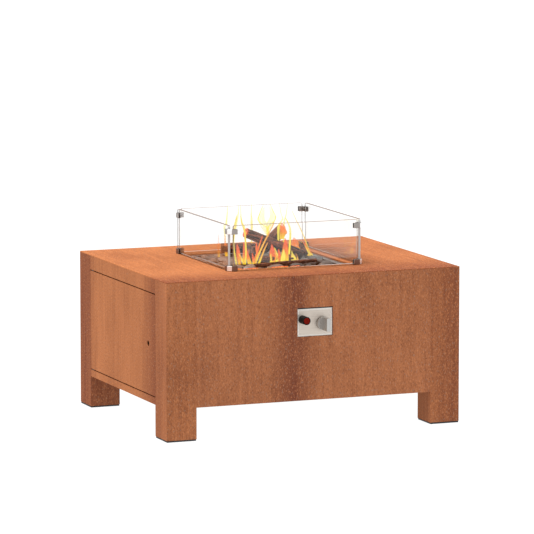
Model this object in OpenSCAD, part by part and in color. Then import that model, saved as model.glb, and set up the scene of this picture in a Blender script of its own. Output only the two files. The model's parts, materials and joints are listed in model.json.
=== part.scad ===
// Square gas fire table in weathering steel, with a lift-off glass guard,
// a stainless burner tray with a grate, stones and ceramic logs.
// Millimetres, +Z up, front (control panel) towards -Y, floor at z = 0.

/* [Table] */
// Length of the table top, left to right
table_l = 1000; // [900:10:1200]
// Depth of the table top, front to back
table_d = 800; // [740:10:1000]
// Height of the table top above the floor
table_h = 505; // [495:5:560]
// Width of each square leg
leg_w = 100; // [80:5:110]
// Height of the open gap under the body
floor_gap = 105; // [90:5:110]
// Thickness of the weathering steel sheet
sheet_t = 3; // [2:0.5:4]
// Thickness of the rubber foot pads
pad_t = 5; // [3:1:8]

/* [Side door] */
// Gap between the door and the leg beside it
door_side_gap = 1.5; // [1.5:0.5:4]
// Gap between the door and the rail above or below it
door_rail_gap = 4; // [3:0.5:5]
// Height of the rail above the door
top_rail_h = 48; // [40:1:60]
// Height of the rail below the door
bottom_rail_h = 22; // [20:1:30]
// Depth of the folded returns round the door
door_return = 15; // [10:1:18]
// Diameter of the finger hole
finger_d = 19; // [16:1:24]

/* [Burner tray] */
// Side of the square opening in the table top
opening_w = 400; // [380:5:420]
// Inner width of the burner tray
tray_w = 350; // [340:5:350]
// Depth of the burner tray below its flange
tray_depth = 80; // [70:5:90]
// Height of the grate above the tray bottom
grate_rise = 56; // [50:1:60]
// Centre radius of the burner ring
ring_r = 110; // [80:5:125]

/* [Glass guard] */
// Outer width of the guard between its side panes
guard_w = 456; // [440:2:480]
// Outer depth of the guard between its front and back panes
guard_d = 470; // [450:2:490]
// Distance that the guard sits in front of the table's centre
guard_shift = 7; // [0:1:10]
// Thickness of the glass
glass_t = 8; // [6:1:10]
// Height of the top edge of the glass above the table top
guard_h = 146; // [130:1:170]

/* [Controls] */
// Width of the control cut-out in the front panel
control_w = 120; // [110:1:140]
// Height of the control cut-out
control_h = 92; // [84:1:100]
// Height of the centre of the control cut-out above the floor
control_z = 354.5; // [340:0.5:370]
// Sideways offset of the control cut-out from the table's centre
control_x = 1.5; // [0:0.5:10]
// Distance from the front panel to the front of the knob
control_reach = 48; // [40:1:52]
// Diameter of the control knob
knob_d = 43; // [40:1:46]

/* [Hidden] */
$fn = 64;
eps = 0.01;
over = 1;

// The footprint that includes the knob is centred on the origin
mid_y = control_reach / 2;
front_y = mid_y - table_d / 2;
back_y = mid_y + table_d / 2;
half_l = table_l / 2;
panel_half_l = half_l - leg_w;
panel_half_d = table_d / 2 - leg_w;
plate_z = table_h - sheet_t;
flange_in = 25;

// Door and its vertical hinge at the back edge
door_half = panel_half_d - door_side_gap;
door_top = plate_z + sheet_t - top_rail_h - door_rail_gap;
door_bottom = floor_gap + bottom_rail_h + door_rail_gap;
pin_r = 2.5;
pin_hole_r = 2.55;
pin_x = -half_l + 5.5;
pin_y = mid_y + door_half - 15;
pin_clear = 0.3;
pin_in_door = 12;
finger_y = mid_y - door_half + 62;
finger_z = door_bottom + 160;

// Burner tray and what stands in it
ledge_top = table_h - 7;
tray_t = 2;
tray_top = ledge_top + tray_t;
tray_floor = tray_top - tray_depth + tray_t;
lip_half = opening_w / 2;
tray_half = tray_w / 2;
grate_half = tray_half - 3;
bar_h = 6;
bar_w = 5;
grate_z = tray_floor + grate_rise;
grate_bars = 12;
ring_tube_r = 9.5;
ring_wall = 1.5;
feed_r = ring_tube_r - 1;
ring_z = tray_floor + 25;
ring_ports = 24;
probe_x = 60;
probe_y = mid_y - 60;
probe_r = 4;

// Pebbles on a jittered square grid
stone_rows = 7;
stone_pitch = (2 * tray_half - 6) / stone_rows;
stone_lift = grate_z + bar_h + 10.5;
front_row_t = 5;

// Glass guard
guard_y = mid_y - guard_shift;
gx = guard_w / 2;
gy = guard_d / 2;
glass_low = table_h + 4;
glass_high = table_h + guard_h;
corner_gap_y = 10;
corner_gap_x = 15;
clip_h = 16;
clip_out = 4;
clip_leg = 32;
clip_t = glass_t + 2 * clip_out;
clip_pad_t = 0.5;
clip_chamfer = 12;
foot_t = 1;
base_clip_z = table_h + foot_t;
top_clip_z = glass_high - 28;

// Controls
recess = 4;
plate_t = 2;
plate_w = control_w - 1;
plate_top_gap = 4;
plate_h = control_h - plate_top_gap - 0.5;
cut_z0 = control_z - control_h / 2;
plate_y = front_y + recess;
bracket_y = plate_y + plate_t;
valve_y = bracket_y + 2;
knob_x = control_x + 26.5;
knob_z = control_z - 5.5;
knob_disc_t = 9;
knob_front = front_y - control_reach;
disc_front = front_y - knob_disc_t;
paddle_w = 13.5;
stem_r = 3;
fit_gap = 0.05;
collar_r = 8;
igniter_x = control_x - 42.5;
igniter_z = control_z + 9;
barrel_r = 13;
barrel_front = front_y - 33.5;
barrel_bore_r = 10.3;
button_r = 10;
button_front = barrel_front - 1;
border_w = 5.5;
border_h = 0.4;

rust = [0.72, 0.43, 0.28];
steel = [0.75, 0.74, 0.72];
bright = [0.86, 0.87, 0.88];
black = [0.08, 0.08, 0.08];
brass = [0.75, 0.6, 0.3];
bark = [0.25, 0.14, 0.09];
stone_grey = [0.45, 0.42, 0.4];

// Axis-aligned block from its low corner to its high corner
module block(low, high) {
    translate(low) cube(high - low);
}

// Upright square ring between two half sizes, about the table's centre
module square_ring(inner, outer, z0, z1) {
    difference() {
        block([-outer, mid_y - outer, z0], [outer, mid_y + outer, z1]);
        block([-inner, mid_y - inner, z0 - over], [inner, mid_y + inner, z1 + over]);
    }
}

// Round bar or cone from point a to point b
module rod(a, b, r1, r2) {
    v = b - a;
    len = norm(v);
    translate(a)
        rotate([0, acos(v[2] / len), atan2(v[1], v[0])])
            cylinder(h = len, r1 = r1, r2 = r2);
}

// Pipe of straight runs with round elbow fittings
module pipe_run(points, r, fitting_r) {
    for (i = [0:len(points) - 2]) {
        rod(points[i], points[i + 1], r, r);
    }
    for (i = [1:len(points) - 2]) {
        translate(points[i]) sphere(r = fitting_r);
    }
}

// Cylinder along +Y starting at the given point
module y_cylinder(x, y, z, h, r) {
    translate([x, y, z]) rotate([-90, 0, 0]) cylinder(h = h, r = r);
}

// ---- Steel body ----

module top_plate() {
    color(rust) {
        difference() {
            block([-half_l, front_y, plate_z], [half_l, back_y, table_h]);
            block([-lip_half, mid_y - lip_half, plate_z - over], [lip_half, mid_y + lip_half, table_h + over]);
        }
        square_ring(lip_half, lip_half + sheet_t, ledge_top, plate_z);
    }
}

// Long panel between two legs, folded inwards along its bottom edge
module long_panel(outer_y, inward) {
    y1 = outer_y + inward * sheet_t;
    y2 = outer_y + inward * flange_in;
    block([-panel_half_l, min(outer_y, y1), floor_gap], [panel_half_l, max(outer_y, y1), plate_z]);
    block([-panel_half_l, min(y1, y2), floor_gap], [panel_half_l, max(y1, y2), floor_gap + sheet_t]);
}

module front_panel() {
    color(rust) difference() {
        long_panel(front_y, 1);
        block([control_x - control_w / 2, front_y - over, cut_z0],
              [control_x + control_w / 2, front_y + sheet_t + over, cut_z0 + control_h]);
    }
}

module back_panel() {
    color(rust) long_panel(back_y, -1);
}

module right_panel() {
    color(rust) {
        block([half_l - sheet_t, mid_y - panel_half_d, floor_gap], [half_l, mid_y + panel_half_d, plate_z]);
        block([half_l - flange_in, mid_y - panel_half_d, floor_gap],
              [half_l - sheet_t, mid_y + panel_half_d, floor_gap + sheet_t]);
    }
}

// Flat flange of a side rail, reaching in from the outer face
module rail_flange(z0) {
    block([-half_l, mid_y - panel_half_d, z0], [-half_l + flange_in, mid_y + panel_half_d, z0 + sheet_t]);
}

module left_top_rail() {
    z0 = door_top + door_rail_gap;
    color(rust) difference() {
        union() {
            block([-half_l, mid_y - panel_half_d, z0], [-half_l + sheet_t, mid_y + panel_half_d, plate_z]);
            rail_flange(z0);
        }
        translate([pin_x, pin_y, z0 - over]) cylinder(h = sheet_t + 2 * over, r = pin_hole_r);
    }
}

module left_bottom_rail() {
    z1 = floor_gap + bottom_rail_h;
    color(rust) difference() {
        union() {
            block([-half_l, mid_y - panel_half_d, floor_gap], [-half_l + sheet_t, mid_y + panel_half_d, z1]);
            rail_flange(floor_gap);
            rail_flange(z1 - sheet_t);
        }
        translate([pin_x, pin_y, z1 - sheet_t - over]) cylinder(h = sheet_t + 2 * over, r = pin_hole_r);
    }
}

// Square tube leg, sx and sy pick the corner
module leg(sx, sy) {
    x0 = sx < 0 ? -half_l : half_l - leg_w;
    y0 = sy < 0 ? front_y : back_y - leg_w;
    color(rust) difference() {
        block([x0, y0, pad_t], [x0 + leg_w, y0 + leg_w, plate_z]);
        block([x0 + sheet_t, y0 + sheet_t, pad_t - over],
              [x0 + leg_w - sheet_t, y0 + leg_w - sheet_t, plate_z + over]);
    }
}

// Rubber pad that plugs into the leg's open end
module foot(sx, sy) {
    x0 = sx < 0 ? -half_l : half_l - leg_w;
    y0 = sy < 0 ? front_y : back_y - leg_w;
    inset = 1;
    plug = sheet_t + 0.2;
    color(black) {
        block([x0 + inset, y0 + inset, 0], [x0 + leg_w - inset, y0 + leg_w - inset, pad_t]);
        block([x0 + plug, y0 + plug, pad_t - eps], [x0 + leg_w - plug, y0 + leg_w - plug, pad_t + 12]);
    }
}

module bottom_shelf() {
    shelf_t = 2;
    z0 = floor_gap + sheet_t;
    reach_x = half_l - sheet_t;
    vent_l = 120;
    vent_w = 10;
    hose_r = 20;
    color(steel) difference() {
        block([-reach_x, front_y + sheet_t, z0], [reach_x, back_y - sheet_t, z0 + shelf_t]);
        for (sx = [-1, 1], sy = [-1, 1]) {
            translate([sx * half_l, mid_y + sy * table_d / 2, z0])
                cube([2 * leg_w, 2 * leg_w, 4 * shelf_t], center = true);
        }
        for (sx = [-1, 1], i = [-3:3]) {
            translate([sx * 250, mid_y + i * 40, z0])
                cube([vent_l, vent_w, 4 * shelf_t], center = true);
        }
        translate([0, mid_y + 200, z0 - over]) cylinder(h = shelf_t + 2 * over, r = hose_r);
    }
}

// ---- Side door ----

module side_door() {
    x1 = -half_l + sheet_t;
    x2 = x1 + door_return;
    y0 = mid_y - door_half;
    y1 = mid_y + door_half;
    color(rust) difference() {
        block([-half_l, y0, door_bottom], [x2, y1, door_top]);
        block([x1, y0 + sheet_t, door_bottom + sheet_t], [x2 + over, y1 - sheet_t, door_top - sheet_t]);
        translate([-half_l - over, finger_y, finger_z])
            rotate([0, 90, 0]) cylinder(h = sheet_t + 2 * over, d = finger_d);
        translate([pin_x, pin_y, door_bottom - over]) cylinder(h = sheet_t + 2 * over, r = pin_r);
        translate([pin_x, pin_y, door_top - sheet_t - over]) cylinder(h = sheet_t + 2 * over, r = pin_r);
    }
}

// One hinge pin with its collar; sz is the way it points out of the door
module hinge_pin(z_door, sz) {
    collar_pin_r = 5;
    reach = door_rail_gap + sheet_t + 3;
    translate([pin_x, pin_y, z_door]) mirror([0, 0, sz < 0 ? 1 : 0]) {
        translate([0, 0, -pin_in_door]) cylinder(h = pin_in_door + reach, r = pin_r);
        cylinder(h = door_rail_gap - pin_clear, r = collar_pin_r);
    }
}

module door_hinge_pins() {
    color(bright) {
        hinge_pin(door_top, 1);
        hinge_pin(door_bottom, -1);
    }
}

module door_magnet() {
    mag_x = -half_l + sheet_t + door_return + 0.5;
    color(black) for (z = [door_bottom + 80, door_top - 120]) {
        block([mag_x, mid_y - panel_half_d, z], [mag_x + 12, mid_y - panel_half_d + 14, z + 40]);
    }
}

// ---- Burner ----

module tray_ledge() {
    color(steel) square_ring(tray_half + 5, lip_half + sheet_t, ledge_top - sheet_t, ledge_top);
}

module burner_tray() {
    z0 = tray_floor - tray_t;
    tab = 10;
    tab_z = grate_z - 3;
    color(steel) {
        square_ring(tray_half + tray_t, lip_half - 1, ledge_top, tray_top);
        square_ring(tray_half, tray_half + tray_t, z0, tray_top);
        difference() {
            block([-tray_half - eps, mid_y - tray_half - eps, z0],
                  [tray_half + eps, mid_y + tray_half + eps, tray_floor]);
            translate([0, mid_y, z0 - over]) cylinder(h = tray_t + 2 * over, r = 14);
            for (x = [-probe_x, probe_x]) {
                translate([x, probe_y, z0 - over]) cylinder(h = tray_t + 2 * over, r = probe_r);
            }
            for (sx = [-1, 1], sy = [-1, 1]) {
                translate([sx * 150, mid_y + sy * 150, z0 - over]) cylinder(h = tray_t + 2 * over, r = 3);
            }
        }
        for (sx = [-1, 1], sy = [-1, 1]) {
            block([sx * (tray_half - tab / 2) - tab / 2, mid_y + sy * (tray_half - tab / 2) - tab / 2, tab_z],
                  [sx * (tray_half - tab / 2) + tab / 2, mid_y + sy * (tray_half - tab / 2) + tab / 2, grate_z]);
        }
    }
}

// Angle that keeps the tray's heat off the gas bottle
module heat_shield() {
    x1 = -lip_half - 10;
    shield_half = 190;
    color(steel) {
        block([x1 - 1.5, mid_y - shield_half, table_h - 205], [x1, mid_y + shield_half, plate_z]);
        block([x1 - 16.5, mid_y - shield_half, plate_z - 1.5], [x1 - 1.5, mid_y + shield_half, plate_z]);
    }
}

// Hollow ring with gas ports on top, open to the feed tube on both sides
module burner_ring() {
    color(steel) translate([0, mid_y, ring_z]) difference() {
        rotate_extrude($fn = 96) translate([ring_r, 0]) circle(r = ring_tube_r);
        rotate_extrude($fn = 96) translate([ring_r, 0]) circle(r = ring_tube_r - ring_wall);
        translate([-ring_r, 0, 0]) rotate([0, 90, 0]) cylinder(h = 2 * ring_r, r = feed_r - ring_wall);
        for (i = [0:ring_ports - 1]) {
            rotate([0, 0, (i + 0.5) * 360 / ring_ports])
                translate([ring_r, 0, 0]) cylinder(h = ring_tube_r + over, r = 1, $fn = 24);
        }
    }
}

// Tube across the ring that feeds both sides, with the air mixer's socket at its centre
module burner_feed() {
    socket_bore = ring_tube_r - ring_wall;
    color(steel) translate([0, mid_y, ring_z]) difference() {
        union() {
            translate([-ring_r, 0, 0]) rotate([0, 90, 0]) cylinder(h = 2 * ring_r, r = feed_r);
            translate([0, 0, -22]) cylinder(h = 22 + ring_tube_r, r = ring_tube_r);
        }
        rotate_extrude($fn = 96) translate([ring_r, 0]) circle(r = ring_tube_r);
        translate([-ring_r, 0, 0]) rotate([0, 90, 0]) cylinder(h = 2 * ring_r, r = feed_r - ring_wall);
        translate([0, 0, -22 - over]) cylinder(h = 22 + over, r = socket_bore);
    }
}

// Tube under the ring with four air windows
module air_mixer() {
    z1 = ring_z - 22;
    z0 = z1 - 52;
    color(steel) difference() {
        translate([0, mid_y, z0]) cylinder(h = z1 - z0, r = 11);
        translate([0, mid_y, z0 + 8]) cylinder(h = z1 - z0, r = 8);
        translate([0, mid_y, z0 - over]) cylinder(h = 12, r = 5);
        for (a = [0, 90]) {
            translate([0, mid_y, z0 + 17]) rotate([0, 0, a]) cube([30, 9, 14], center = true);
        }
    }
}

module gas_injector() {
    z1 = ring_z - 74;
    color(brass) difference() {
        union() {
            translate([0, mid_y, z1 - 14]) cylinder(h = 14, r = 11, $fn = 6);
            translate([0, mid_y, z1 - eps]) cylinder(h = 12, r = 5);
        }
        translate([0, mid_y, z1 - 14 - over]) cylinder(h = 12 + over, r = 4);
        translate([0, mid_y, z1 - 4]) cylinder(h = 20, r = 0.8);
    }
}

// Pierced rack that carries the stones over the burner
module grate() {
    color(black) {
        square_ring(grate_half - bar_w, grate_half, grate_z, grate_z + bar_h);
        for (i = [1:grate_bars]) {
            x = -grate_half + i * 2 * grate_half / (grate_bars + 1);
            block([x - bar_w / 2, mid_y - grate_half + bar_w - eps, grate_z],
                  [x + bar_w / 2, mid_y + grate_half - bar_w + eps, grate_z + bar_h - 1]);
        }
        for (y = [-grate_half / 3, grate_half / 3]) {
            block([-grate_half + bar_w - eps, mid_y + y - bar_w / 2, grate_z - 3],
                  [grate_half - bar_w + eps, mid_y + y + bar_w / 2, grate_z + eps]);
        }
    }
}

// Smooth flattened pebble of a given radius and half thickness
module pebble(r, t) {
    edge = t * 0.95;
    rotate_extrude($fn = 48) union() {
        intersection() {
            translate([r - edge, 0]) circle(r = edge, $fn = 32);
            translate([0, -2 * t]) square([2 * r, 4 * t]);
        }
        translate([0, -t]) square([r - edge, 2 * t]);
    }
}

// Repeatable spread between -1 and 1 for a grid cell
function spread(i, j, k) = sin(97 * i + 59 * j + 41 * k + 113 * i * j);

// The front row is thinner, so the branch can lie on it
module stones() {
    color(stone_grey) for (i = [0:stone_rows - 1], j = [0:stone_rows - 1]) {
        x = (i - (stone_rows - 1) / 2) * stone_pitch;
        y = (j - (stone_rows - 1) / 2) * stone_pitch;
        r = stone_pitch / 2 - 1.2 - 1.3 * abs(spread(i, j, 1));
        t = j == 0 ? front_row_t : 8.6 + 1.1 * spread(i, j, 2);
        z = j == 0 ? grate_z + bar_h + front_row_t + 2 : stone_lift;
        translate([x, mid_y + y, z])
            rotate([3 * spread(i, j, 3), 3 * spread(i, j, 4), 0]) pebble(r, t);
    }
}

// ---- Ceramic logs, placed from the tray's centre and the table top ----

module log_piece(a, b, r1, r2) {
    base = [0, mid_y, table_h];
    color(bark) rod(base + a, base + b, r1, r2);
}

module log_front() {
    log_piece([-111, -80, 100.5], [85, -80, 18.5], 15.5, 17.5);
}

module log_upright() {
    log_piece([-24, -12, 33], [30, -58, 103], 20, 20);
}

module log_back() {
    log_piece([-112, 112, 25], [20, 70, 25], 16.5, 16.5);
}

module log_short() {
    log_piece([-79, -52, 17], [-48, 40, 28], 12.5, 14);
}

module log_low() {
    log_piece([-66, -116, 17], [50, -120, 17], 11, 11);
}

module log_branch() {
    log_piece([-105, -145, 1], [112, -143, 7.5], 6.5, 6.5);
}

module log_chip() {
    log_piece([116, -40, 14], [119, 6, 38], 9, 9);
}

// ---- Ignition and flame safety ----

module electrode_bracket() {
    z0 = tray_floor;
    half = 10;
    h = 14;
    color(steel) for (x = [-probe_x, probe_x]) {
        difference() {
            block([x - half, probe_y - half, z0], [x + half, probe_y + half, z0 + h]);
            translate([x, probe_y, z0 - over]) cylinder(h = h + 2 * over, r = probe_r);
        }
    }
}

// Probe through the tray's bottom: a round body with a thinner tip
module probe(x, tip_r, tip_h) {
    body_h = 42;
    z0 = tray_floor - 20;
    translate([x, probe_y, z0]) cylinder(h = body_h, r = probe_r);
    translate([x, probe_y, z0 + body_h - eps]) cylinder(h = tip_h, r = tip_r);
}

module spark_electrode() {
    color([0.9, 0.9, 0.88]) probe(-probe_x, 1.2, 26);
}

module thermocouple() {
    color(brass) probe(probe_x, 2.4, 24);
}

// ---- Control panel ----

// Plate with a raised border round a shallow pressed field
module control_plate() {
    z0 = cut_z0 + 0.5;
    x0 = control_x - plate_w / 2;
    x1 = control_x + plate_w / 2;
    color(steel) difference() {
        block([x0, plate_y, z0], [x1, bracket_y, z0 + plate_h]);
        block([x0 + border_w, plate_y - over, z0 + border_w],
              [x1 - border_w, plate_y + border_h, z0 + plate_h - border_w]);
        y_cylinder(knob_x, plate_y - over, knob_z, plate_t + 2 * over, 6);
        y_cylinder(igniter_x, plate_y - over, igniter_z, plate_t + 2 * over, 9);
    }
}

// Shallow hat section behind the cut-out that carries the plate and the valve
module control_bracket() {
    side = control_w / 2 + 4;
    z0 = cut_z0 - 14;
    z1 = cut_z0 + control_h + 14;
    color(black) difference() {
        union() {
            block([control_x - side - 16, bracket_y, z0], [control_x + side + 16, valve_y, z1]);
            for (sx = [-1, 1]) {
                x = control_x + sx * (side + 8);
                block([x - 8, front_y + sheet_t, z0], [x + 8, bracket_y + eps, z1]);
            }
        }
        y_cylinder(knob_x, bracket_y - over, knob_z, 2 + 2 * over, 8.5);
        y_cylinder(igniter_x, bracket_y - over, igniter_z, 2 + 2 * over, 9);
    }
}

// Pan-head screws that hold the bracket to the front panel from inside
module control_screws() {
    side = control_w / 2 + 12;
    color(bright) for (sx = [-1, 1], sz = [-1, 1]) {
        z = control_z + sz * (control_h / 2 + 4);
        y_cylinder(control_x + sx * side, valve_y, z, 3, 4.5);
    }
}

module igniter_barrel() {
    neck_r = 9;
    bore_depth = 22;
    color(black) difference() {
        union() {
            y_cylinder(igniter_x, barrel_front, igniter_z, plate_y + border_h - barrel_front, barrel_r);
            y_cylinder(igniter_x, plate_y + border_h - eps, igniter_z, 34, neck_r);
        }
        y_cylinder(igniter_x, barrel_front - over, igniter_z, bore_depth + over, barrel_bore_r);
    }
}

module igniter_button() {
    color([0.55, 0.08, 0.05]) y_cylinder(igniter_x, button_front, igniter_z, 16, button_r);
}

module igniter_nut() {
    color(steel) difference() {
        translate([igniter_x, valve_y, igniter_z]) rotate([-90, 0, 0]) cylinder(h = 6, r = 14, $fn = 6);
        y_cylinder(igniter_x, valve_y - over, igniter_z, 6 + 2 * over, 9);
    }
}

module gas_valve() {
    half = 18;
    body_l = 40;
    bore_l = 20;
    tail_l = 32;
    color(brass) difference() {
        union() {
            block([knob_x - half, valve_y, knob_z - half], [knob_x + half, valve_y + body_l, knob_z + half]);
            y_cylinder(knob_x, valve_y + body_l - eps, knob_z, 10, 12);
        }
        y_cylinder(knob_x, valve_y - over, knob_z, bore_l + over, collar_r + fit_gap);
        y_cylinder(knob_x, valve_y - over, knob_z, tail_l + over, stem_r + 0.5);
    }
}

module push_collar() {
    color(bright) difference() {
        y_cylinder(knob_x, valve_y + 2, knob_z, 12, collar_r);
        y_cylinder(knob_x, valve_y + 2 - over, knob_z, 12 + 2 * over, stem_r + fit_gap);
    }
}

module valve_stem() {
    color(bright) y_cylinder(knob_x, front_y - 20, knob_z, valve_y + 26 - front_y + 20, stem_r);
}

module control_knob() {
    paddle_r = knob_d / 2 - 0.5;
    color(bright) difference() {
        union() {
            y_cylinder(knob_x, disc_front, knob_z, knob_disc_t, knob_d / 2);
            intersection() {
                y_cylinder(knob_x, knob_front, knob_z, disc_front - knob_front + eps, paddle_r);
                block([knob_x - paddle_w / 2, knob_front - over, knob_z - knob_d],
                      [knob_x + paddle_w / 2, disc_front + over, knob_z + knob_d]);
            }
        }
        y_cylinder(knob_x, front_y - 20, knob_z, 20 + over, stem_r);
    }
}

// Copper pipe from the valve's outlet to the injector under the tray
module burner_pipe() {
    y1 = valve_y + 56;
    z1 = ring_z - 94;
    color([0.7, 0.42, 0.28]) {
        pipe_run([
            [knob_x, valve_y + 50, knob_z],
            [knob_x, y1 + 10, knob_z],
            [knob_x, y1 + 10, z1],
            [0, mid_y - 60, z1],
            [0, mid_y, z1],
            [0, mid_y, z1 + 6]
        ], 4, 5.5);
    }
}

// Threaded nipple on the valve's left side where the gas hose is screwed on
module gas_inlet() {
    y = valve_y + 30;
    x1 = knob_x - 18;
    z = knob_z - 9;
    hex_l = 10;
    thread_l = 12;
    thread_r = 6.6;
    color(brass) {
        translate([x1 - hex_l, y, z]) rotate([0, 90, 0]) cylinder(h = hex_l, r = 9, $fn = 6);
        translate([x1 - hex_l - thread_l, y, z]) rotate([0, 90, 0]) cylinder(h = thread_l + eps, r = thread_r);
    }
}

// ---- Glass guard ----

// Upright pane with rounded top corners; along is "x" or "y"
module pane(half_len, centre, along) {
    round_r = 5;
    h = glass_high - glass_low;
    outline_w = 2 * half_len;
    translate(centre) rotate([90, 0, along == "x" ? 0 : 90]) translate([0, 0, -glass_t / 2])
        color([0.8, 0.9, 0.9, 0.35]) linear_extrude(glass_t) union() {
            translate([-half_len, 0]) square([outline_w, h - round_r]);
            translate([-half_len + round_r, 0]) square([outline_w - 2 * round_r, h]);
            for (s = [-1, 1]) {
                translate([s * (half_len - round_r), h - round_r]) circle(r = round_r);
            }
        }
}

module glass_front() {
    pane(gx - corner_gap_x, [0, guard_y - gy + glass_t / 2, glass_low], "x");
}

module glass_back() {
    pane(gx - corner_gap_x, [0, guard_y + gy - glass_t / 2, glass_low], "x");
}

module glass_left() {
    pane(gy - corner_gap_y, [-gx + glass_t / 2, guard_y, glass_low], "y");
}

module glass_right() {
    pane(gy - corner_gap_y, [gx - glass_t / 2, guard_y, glass_low], "y");
}

// Corner clamp outline: an L with a chamfered outer corner at the origin
module clamp_outline() {
    polygon([
        [clip_chamfer, 0], [clip_leg, 0], [clip_leg, clip_t], [clip_t, clip_t],
        [clip_t, clip_leg], [0, clip_leg], [0, clip_chamfer]
    ]);
}

// Slots that the two panes stand in, measured from the clamp's outer corner
module clamp_slots(z0, h) {
    slot_0 = clip_out - clip_pad_t;
    slot_t = glass_t + 2 * clip_pad_t;
    translate([clip_out + corner_gap_x, slot_0, z0]) cube([clip_leg, slot_t, h]);
    translate([slot_0, clip_out + corner_gap_y, z0]) cube([slot_t, clip_leg, h]);
}

// Places its children at each corner of the guard, with +X and +Y pointing inwards
module guard_corners() {
    for (sx = [-1, 1], sy = [-1, 1]) {
        translate([sx * (gx + clip_out), guard_y + sy * (gy + clip_out), 0])
            mirror([sx > 0 ? 1 : 0, 0, 0]) mirror([0, sy > 0 ? 1 : 0, 0]) children();
    }
}

module guard_base_clips() {
    color(bright) guard_corners() difference() {
        translate([0, 0, base_clip_z]) linear_extrude(clip_h) clamp_outline();
        clamp_slots(glass_low, clip_h);
    }
}

module guard_top_clips() {
    color(bright) guard_corners() difference() {
        translate([0, 0, top_clip_z]) linear_extrude(clip_h) clamp_outline();
        clamp_slots(top_clip_z - over, clip_h + 2 * over);
    }
}

// Set screws on the inner faces of the clamps, pressing on the pads
module clip_screws() {
    color(steel) guard_corners() for (z = [base_clip_z + clip_h / 2, top_clip_z + clip_h / 2]) {
        translate([clip_leg - 5, clip_t, z]) rotate([-90, 0, 0]) cylinder(h = 1.5, r = 3, $fn = 24);
        translate([clip_t, clip_leg - 5, z]) rotate([0, 90, 0]) cylinder(h = 1.5, r = 3, $fn = 24);
    }
}

// Thin rubber linings on both sides of each pane, inside the clamps
module clip_pads() {
    color(black) guard_corners() for (z = [glass_low, top_clip_z]) {
        h = z == glass_low ? base_clip_z + clip_h - glass_low : clip_h;
        for (d = [clip_out - clip_pad_t, clip_out + glass_t]) {
            translate([clip_out + corner_gap_x, d, z]) cube([clip_leg - clip_out - corner_gap_x, clip_pad_t, h]);
            translate([d, clip_out + corner_gap_y, z]) cube([clip_pad_t, clip_leg - clip_out - corner_gap_y, h]);
        }
    }
}

module guard_feet() {
    inset = 1.5;
    color(black) guard_corners() translate([0, 0, table_h]) {
        translate([clip_t, inset, 0]) cube([clip_leg - clip_t - inset, clip_t - 2 * inset, foot_t]);
        translate([inset, clip_t, 0]) cube([clip_t - 2 * inset, clip_leg - clip_t - inset, foot_t]);
    }
}

top_plate();
front_panel();
back_panel();
right_panel();
left_top_rail();
left_bottom_rail();
leg(-1, -1);  // leg_front_left
leg(1, -1);  // leg_front_right
leg(-1, 1);  // leg_back_left
leg(1, 1);  // leg_back_right
foot(-1, -1);  // foot_front_left
foot(1, -1);  // foot_front_right
foot(-1, 1);  // foot_back_left
foot(1, 1);  // foot_back_right
side_door();
door_hinge_pins();
door_magnet();
bottom_shelf();
tray_ledge();
burner_tray();
heat_shield();
burner_ring();
burner_feed();
air_mixer();
gas_injector();
grate();
stones();
log_front();
log_upright();
log_back();
log_short();
log_low();
log_branch();
log_chip();
spark_electrode();
electrode_bracket();
thermocouple();
control_plate();
control_bracket();
control_screws();
igniter_barrel();
igniter_button();
igniter_nut();
gas_valve();
valve_stem();
push_collar();
control_knob();
burner_pipe();
gas_inlet();
glass_front();
glass_back();
glass_left();
glass_right();
guard_base_clips();
guard_top_clips();
clip_screws();
clip_pads();
guard_feet();
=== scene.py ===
"""Looks of the weathering steel gas fire table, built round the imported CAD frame. Metres, +Z up."""
import json
import math
import random

import bmesh
import bpy
import numpy as np
from mathutils import Matrix, Vector, noise


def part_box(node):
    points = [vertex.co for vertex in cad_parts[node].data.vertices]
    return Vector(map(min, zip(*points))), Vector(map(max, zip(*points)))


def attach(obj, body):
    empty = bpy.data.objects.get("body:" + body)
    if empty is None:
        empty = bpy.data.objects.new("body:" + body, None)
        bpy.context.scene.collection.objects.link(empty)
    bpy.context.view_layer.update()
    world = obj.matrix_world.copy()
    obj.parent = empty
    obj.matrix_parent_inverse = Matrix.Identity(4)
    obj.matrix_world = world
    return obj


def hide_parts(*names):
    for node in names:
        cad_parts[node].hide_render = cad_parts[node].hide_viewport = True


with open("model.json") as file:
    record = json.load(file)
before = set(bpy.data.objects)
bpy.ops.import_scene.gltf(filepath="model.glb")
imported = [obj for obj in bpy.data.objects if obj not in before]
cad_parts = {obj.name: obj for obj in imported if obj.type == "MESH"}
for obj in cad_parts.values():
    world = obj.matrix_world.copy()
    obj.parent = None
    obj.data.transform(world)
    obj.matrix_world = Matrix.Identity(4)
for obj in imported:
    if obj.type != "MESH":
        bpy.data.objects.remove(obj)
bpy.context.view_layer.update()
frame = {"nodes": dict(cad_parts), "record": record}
NODES = frame["nodes"]
BODY_OF = {n: b for b, members in frame["record"]["behaviour"]["bodies"].items() for n in members}
SLOT_OF = {s["node"]: s["material_slot"] for s in frame["record"]["subparts"]}

TOP_LOW, TOP_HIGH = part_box("top_plate")
TABLE_TOP = TOP_HIGH.z
MID_Y = (TOP_LOW.y + TOP_HIGH.y) / 2
FRONT_Y = TOP_LOW.y
TRAY_LOW, TRAY_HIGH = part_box("burner_tray")
STONES_LOW, STONES_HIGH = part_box("stones")

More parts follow.
